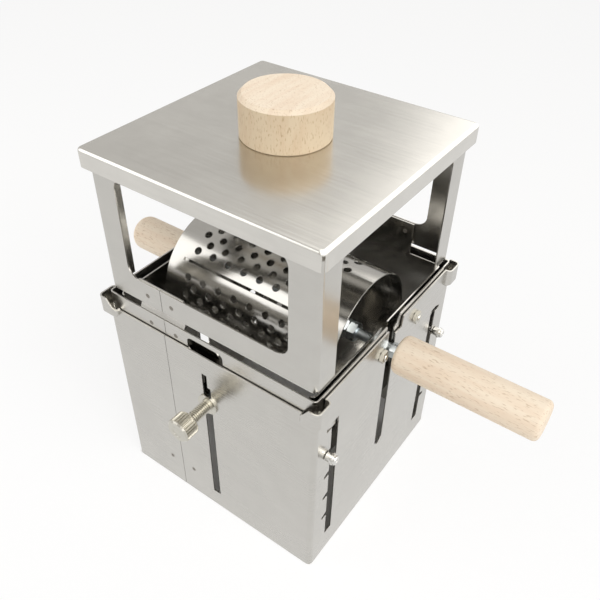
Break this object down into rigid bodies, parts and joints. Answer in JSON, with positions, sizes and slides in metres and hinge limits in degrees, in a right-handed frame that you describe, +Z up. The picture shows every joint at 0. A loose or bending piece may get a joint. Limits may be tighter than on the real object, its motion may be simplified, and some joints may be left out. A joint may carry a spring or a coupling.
{
  "type": "hand cranked coffee bean roaster",
  "caption": "Square sheet-steel roaster stand with an open hood and lid, holding a perforated drum on a shaft that is turned by a wooden grip over a flame.",
  "frame": {"origin": "middle of the square stand, on the surface that its lower edge stands on", "axes": "+X along the drum's shaft towards the long grip, +Y from the face with the thumb screw to the back, +Z up"},
  "size_m": [0.275, 0.1688, 0.2488],
  "materials": {
    "stand_steel": "satin",
    "hood_steel": "satin",
    "lid_steel": "satin",
    "carrier_steel": "satin",
    "drum_steel": "satin",
    "rod_steel": "bright",
    "screw_steel": "bright",
    "beech": "plain sanded"
  },
  "bodies": {
    "stand": {"stand_body": "stand_steel", "stand_strip": "stand_steel", "collar": "stand_steel", "collar_screws": "screw_steel", "collar_nuts": "screw_steel", "hood": "hood_steel", "front_link": "hood_steel", "back_link": "hood_steel"},
    "lid": {"lid": "lid_steel", "knob": "beech", "knob_screw": "screw_steel"},
    "carrier": {"carrier": "carrier_steel", "weld_nut": "screw_steel"},
    "drum": {"drum_shell": "drum_steel", "right_cap": "drum_steel", "left_cap": "drum_steel", "shaft": "rod_steel", "shaft_nuts": "screw_steel", "long_grip": "beech", "short_grip": "beech"},
    "thumb_screw": {"thumb_screw": "screw_steel", "thumb_washer": "screw_steel"},
    "front_rod": {"front_rod": "rod_steel"},
    "back_rod": {"back_rod": "rod_steel"}
  },
  "joints": [
    {"name": "lid_lift", "type": "slide", "parent": "stand", "child": "lid", "axis": [0, 0, 1], "range_m": [0, 0.12]},
    {"name": "carrier_lift", "type": "slide", "parent": "stand", "child": "carrier", "axis": [0, 0, 1], "range_m": [0, 0.01]},
    {"name": "drum_turn", "type": "hinge", "parent": "carrier", "child": "drum", "pos_m": [0, 0, 0.123], "axis": [1, 0, 0], "continuous": true},
    {"name": "thumb_screw_turn", "type": "hinge", "parent": "carrier", "child": "thumb_screw", "pos_m": [0, -0.0705, 0.095], "axis": [0, 1, 0], "continuous": true},
    {"name": "front_rod_out", "type": "slide", "parent": "stand", "child": "front_rod", "axis": [0, 1, 0], "range_m": [0, 0.0085]},
    {"name": "back_rod_out", "type": "slide", "parent": "stand", "child": "back_rod", "axis": [0, -1, 0], "range_m": [0, 0.0085]}
  ]
}
